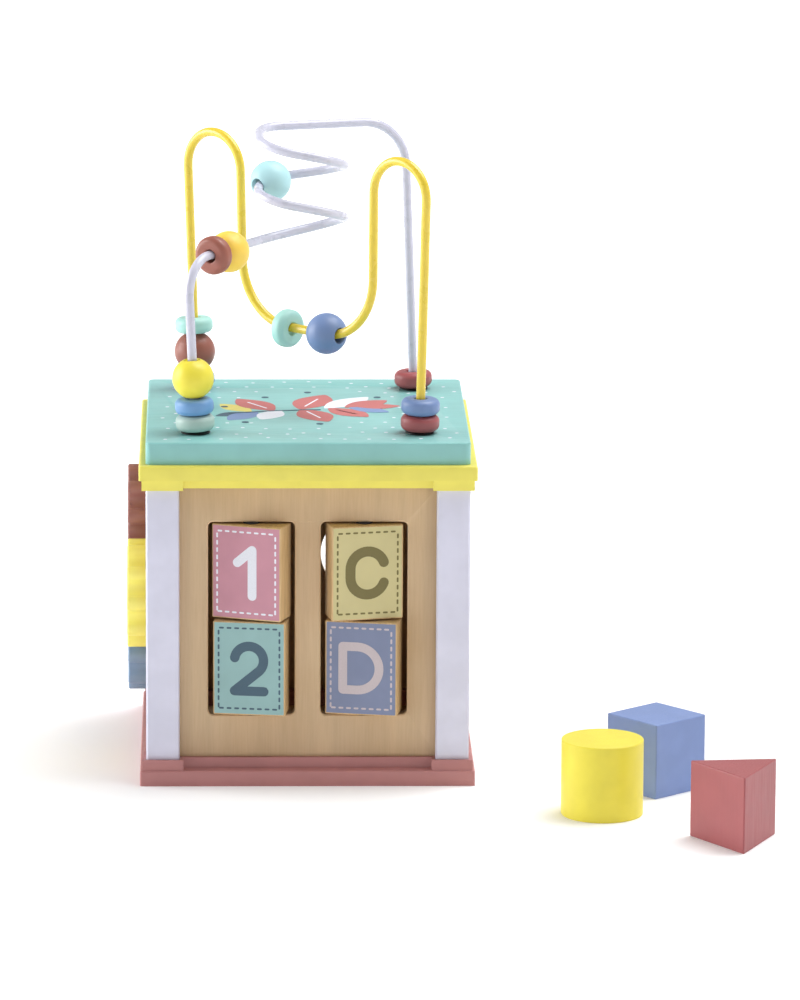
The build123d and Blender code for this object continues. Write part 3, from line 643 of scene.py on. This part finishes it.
class CUBE_OT_lid(bpy.types.Operator):
    """The lid with its printed sprig and specks, and the board under it"""

    bl_idname = "cube.lid"
    bl_label = "Lid"

    def execute(self, context):
        eased("lid", enamelled_wood("mint_enamelled_beech", paints().lid, GRAIN_X, 0.36), sizes().frame_ease)
        board = birch_face("birch_locating_board", paints().birch, GRAIN_X)
        eased("lid_locating_board", board, sizes().panel_ease)
        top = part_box("lid")[1].z - sizes().ink
        self.print_sprig(top)
        self.print_specks(top)
        return {"FINISHED"}

    def place_print(self, bm, top, name, ink):
        """Moves a print from the origin to the lid's top."""
        bmesh.ops.translate(bm, verts=bm.verts, vec=(SPRIG_CENTRE[0] * MM, SPRIG_CENTRE[1] * MM, top))
        made = screen_ink(f"{name}_ink", getattr(paints(), ink))
        piece(bm, f"lid_{name}", "lid_and_maze", [made])

    def print_sprig(self, top):
        """Prints a leafy sprig: leaves of each ink, then their midribs, the stem and the berries."""
        film = sizes().ink
        for ink in ("ink_rose", "ink_blue", "ink_yellow", "ink_white", "ink_slate"):
            bm = bmesh.new()
            for layer, (at, heading, length, width, leaf_ink) in enumerate(LEAVES):
                if leaf_ink == ink:
                    leaf(bm, at, heading, length, width, film, STACKED * layer)
            self.place_print(bm, top, f"leaves_{ink[4:]}", ink)
        ribs = bmesh.new()
        for at, heading, length, width, leaf_ink in LEAVES:
            if leaf_ink == "ink_rose":
                way = Vector((cos(radians(heading)), sin(radians(heading))))
                start = Vector(at) + way * length * 0.2
                stroke(ribs, start, radians(heading), 1.0, [(length * 0.5, 0)], film, 2 * LEAF_LIFT)
        self.place_print(ribs, top, "midribs", "ink_white")
        dark = bmesh.new()
        at, heading, moves = STEM
        stroke(dark, at, radians(heading), 1.6, moves, film, 3 * LEAF_LIFT)
        for spot in BERRIES:
            stroke(dark, spot, 0, 3.2, [(0.3, 0)], film, 3 * LEAF_LIFT)
        self.place_print(dark, top, "stem_and_berries", "ink_slate")

    def print_specks(self, top):
        """Scatters white specks over the lid, clear of the sprig, the edges and the collars."""
        scatter = random.Random(sizes().speck_seed)
        pitch = sizes().speck_pitch / MM
        low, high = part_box("lid")
        half = (high.x - low.x) / 2 / MM - SPECK_MARGIN
        count = round(2 * half / pitch)
        bm = bmesh.new()
        for column in range(count):
            for row in range(count):
                across = column + 0.5 + 0.5 * (row % 2) + scatter.uniform(-SPECK_WANDER, SPECK_WANDER)
                along = row + 0.5 + scatter.uniform(-SPECK_WANDER, SPECK_WANDER)
                x = across * 2 * half / count - half
                y = along * 2 * half / count - half
                from_sprig = hypot(x - SPRIG_CENTRE[0], y - SPRIG_CENTRE[1])
                from_collar = hypot(abs(x) - WIRE_HOLE, abs(y) - WIRE_HOLE)
                if abs(x) < half and from_sprig > SPRIG_CLEAR and from_collar > COLLAR_CLEAR:
                    spot = (x - SPRIG_CENTRE[0], y - SPRIG_CENTRE[1])
                    stroke(bm, spot, 0, sizes().speck / MM, [(0.2, 0)], sizes().ink)
        self.place_print(bm, top, "specks", "ink_white")


FIXINGS = (
    "wire_end_nuts",
    "post_screws",
    "top_frame_screws",
    "base_board_screws",
    "locating_board_screws",
)


class CUBE_OT_wires(bpy.types.Operator):
    """The two coated wires with their collars, and the nuts and screws under the lid and in the frames"""

    bl_idname = "cube.wires"
    bl_label = "Wires and fixings"

    def execute(self, context):
        finish("bead_wire_yellow", dipped_vinyl("yellow_dipped_vinyl", paints().wire_yellow))
        finish("bead_wire_white", dipped_vinyl("white_dipped_vinyl", paints().wire_white))
        eased("wire_collars", moulded_abs("black_abs_collar", linear("1b1b1d")), sizes().collar_ease, 3)
        steel = zinc_plated_steel("zinc_plated_fixings")
        for node in FIXINGS:
            finish(node, steel)
        return {"FINISHED"}


BEADS = {
    "front_left_disc_pale": "pale",
    "front_left_disc_blue": "blue",
    "front_left_ball_yellow": "yellow",
    "back_left_disc_blue": "blue",
    "back_left_ball_plum": "brown",
    "back_left_disc_mint": "mint",
    "front_right_disc_rose": "rose",
    "front_right_disc_blue": "dusk_blue",
    "back_right_disc_rose": "rose",
    "low_disc_mint": "mint",
    "low_ball_blue": "dusk_blue",
    "run_disc_brown": "brown",
    "run_ball_yellow": "amber",
    "coil_ball_teal": "teal",
}


class CUBE_OT_beads(bpy.types.Operator):
    """The turned beads, with the mouths of their bores eased"""

    bl_idname = "cube.beads"
    bl_label = "Beads"

    def execute(self, context):
        enamels = {}
        for bead, colour in BEADS.items():
            if colour not in enamels:
                enamels[colour] = enamelled_wood(f"{colour}_bead_enamel", getattr(paints(), colour))
            eased(f"bead_{bead}", enamels[colour], sizes().bead_ease, 3)
        return {"FINISHED"}


class CUBE_OT_loose_shapes(bpy.types.Operator):
    """The loose cylinder, square and triangle"""

    bl_idname = "cube.loose_shapes"
    bl_label = "Loose shapes"

    def execute(self, context):
        for shape, colour in (("cylinder", "yellow"), ("square", "sky_blue"), ("triangle", "rose")):
            enamel = enamelled_wood(f"{shape}_enamel", getattr(paints(), colour), GRAIN_Z, 0.4)
            finish(f"shape_{shape}", enamel)
        return {"FINISHED"}


# ---------------------------------------------------------------- stage
CAMERA_AT = Vector((-44.07, -3306.95, 846.73)) * MM
CAMERA_YAW = radians(1.558)
CAMERA_DOWN = radians(12.337)
CAMERA_ROLL = radians(0.3163)
CAMERA_LENS = 249.6
FLOOR_HALF = 9.0
# The table's light is a painted glow with no lamp under it: it lifts the shadows under the toy and whitens
# the floor far away.
NEAR_GLOW = 0.09  # light of the table under the toy, and far away from it
FAR_GLOW = 0.9
GLOW_START = 0.4  # where the table begins to brighten, in metres from the toy, and where it is brightest
GLOW_END = 2.4
SKY_HORIZON = 1.0  # light of the studio's walls near the floor, and of its ceiling
SKY_TOP = 0.24
SKY_HEIGHT = 0.5  # height of a direction at which the wall has become the ceiling
# softboxes: (place, size, power in watts, what it looks at)
SOFTBOXES = {
    "overhead": ((0.9, 0.35, 2.2), 1.7, 62.0, (0.05, 0, 0.1)),
    "left": ((-2.3, 0.35, 0.8), 1.6, 56.0, (0, 0, 0.15)),
    "right": ((2.3, -0.6, 1.0), 1.4, 1.5, (0.05, 0, 0.15)),
}


class CUBE_OT_stage(bpy.types.Operator):
    """White floor, soft studio light and the camera"""

    bl_idname = "cube.stage"
    bl_label = "Stage"

    def execute(self, context):
        self.lay_floor()
        self.light(context)
        self.aim_camera(context)
        return {"FINISHED"}

    def lay_floor(self):
        """A wide table of white acrylic with a painted glow in place of a lamp below it: a little under the
        toy and fully away from it.
        """
        bm = bmesh.new()
        bmesh.ops.create_grid(bm, x_segments=1, y_segments=1, size=FLOOR_HALF)
        mesh = bpy.data.meshes.new("floor")
        bm.to_mesh(mesh)
        bm.free()
        made, tree, shader = material(
            "lit_white_acrylic", Roughness=0.9, Base_Color=paints().floor, Emission_Color=(1, 1, 1, 1)
        )
        # Painted glow: the floor's emission grows with distance from the toy and lifts the shadows a little
        # near it.
        place = add(tree, "ShaderNodeTexCoord").outputs["Object"]
        away = add(tree, "ShaderNodeVectorMath", [("operation", "LENGTH")], [(0, place)]).outputs["Value"]
        ends = [("From Min", GLOW_START), ("From Max", GLOW_END), ("To Min", NEAR_GLOW), ("To Max", FAR_GLOW)]
        glow = add(tree, "ShaderNodeMapRange", ends, [("Value", away)])
        tree.links.new(glow.outputs["Result"], shader.inputs["Emission Strength"])
        mesh.materials.append(made)
        floor = bpy.data.objects.new("floor", mesh)
        bpy.context.scene.collection.objects.link(floor)

    def light(self, context):
        """A studio with white walls, brightest near the floor, and three large softboxes."""
        world = bpy.data.worlds.new("studio")
        world.use_nodes = True
        tree = world.node_tree
        tree.nodes["Background"].inputs["Color"].default_value = (1, 1, 1, 1)
        way = add(tree, "ShaderNodeTexCoord").outputs["Generated"]
        height = add(tree, "ShaderNodeSeparateXYZ", (), [("Vector", way)]).outputs["Z"]
        ends = [("From Min", 0.0), ("From Max", SKY_HEIGHT), ("To Min", SKY_HORIZON), ("To Max", SKY_TOP)]
        sky = add(tree, "ShaderNodeMapRange", ends, [("Value", height)])
        tree.links.new(sky.outputs["Result"], tree.nodes["Background"].inputs["Strength"])
        context.scene.world = world
        for name, (place, side, power, target) in SOFTBOXES.items():
            lamp = bpy.data.lights.new(f"softbox_{name}", "AREA")
            lamp.size = side
            lamp.energy = power
            obj = bpy.data.objects.new(f"softbox_{name}", lamp)
            obj.location = place
            obj.rotation_euler = (Vector(target) - Vector(place)).to_track_quat("-Z", "Y").to_euler()
            context.scene.collection.objects.link(obj)
        context.scene.view_settings.view_transform = "Standard"

    def aim_camera(self, context):
        """A long lens from the front, a little above."""
        ahead = Vector((sin(CAMERA_YAW), cos(CAMERA_YAW), 0))
        forward = ahead * cos(CAMERA_DOWN) - UP * sin(CAMERA_DOWN)
        right = Vector((cos(CAMERA_YAW), -sin(CAMERA_YAW), 0))
        above = right.cross(forward)
        rolled = Matrix.Rotation(-CAMERA_ROLL, 3, forward)
        data = bpy.data.cameras.new("camera")
        data.lens = CAMERA_LENS
        data.clip_end = 100.0
        camera = bpy.data.objects.new("camera", data)
        camera.matrix_world = facing(rolled @ right, rolled @ above, CAMERA_AT)
        context.scene.collection.objects.link(camera)
        context.scene.camera = camera


STEPS = (
    CUBE_OT_frames,
    CUBE_OT_panels,
    CUBE_OT_blocks,
    CUBE_OT_gears,
    CUBE_OT_lid,
    CUBE_OT_wires,
    CUBE_OT_beads,
    CUBE_OT_loose_shapes,
    CUBE_OT_stage,
)


class CUBE_PT_panel(bpy.types.Panel):
    """Lists the steps, the colours and the sizes"""

    bl_idname = "CUBE_PT_panel"
    bl_label = "Activity cube"
    bl_space_type = "VIEW_3D"
    bl_region_type = "UI"
    bl_category = "Activity cube"

    def draw(self, context):
        for step in STEPS:
            self.layout.operator(step.bl_idname)
        for group in (context.scene.cube_paints, context.scene.cube_sizes):
            box = self.layout.box()
            for key in group.__annotations__:
                box.prop(group, key)


CLASSES = (CubePaints, CubeSizes, *STEPS, CUBE_PT_panel)


def register():
    for cls in CLASSES:
        bpy.utils.register_class(cls)
    bpy.types.Scene.cube_paints = PointerProperty(type=CubePaints)
    bpy.types.Scene.cube_sizes = PointerProperty(type=CubeSizes)


def unregister():
    del bpy.types.Scene.cube_sizes
    del bpy.types.Scene.cube_paints
    for cls in reversed(CLASSES):
        bpy.utils.unregister_class(cls)


def main():
    register()
    for step in STEPS:
        group, name = step.bl_idname.split(".")
        getattr(getattr(bpy.ops, group), name)()


if __name__ == "__main__":
    main()
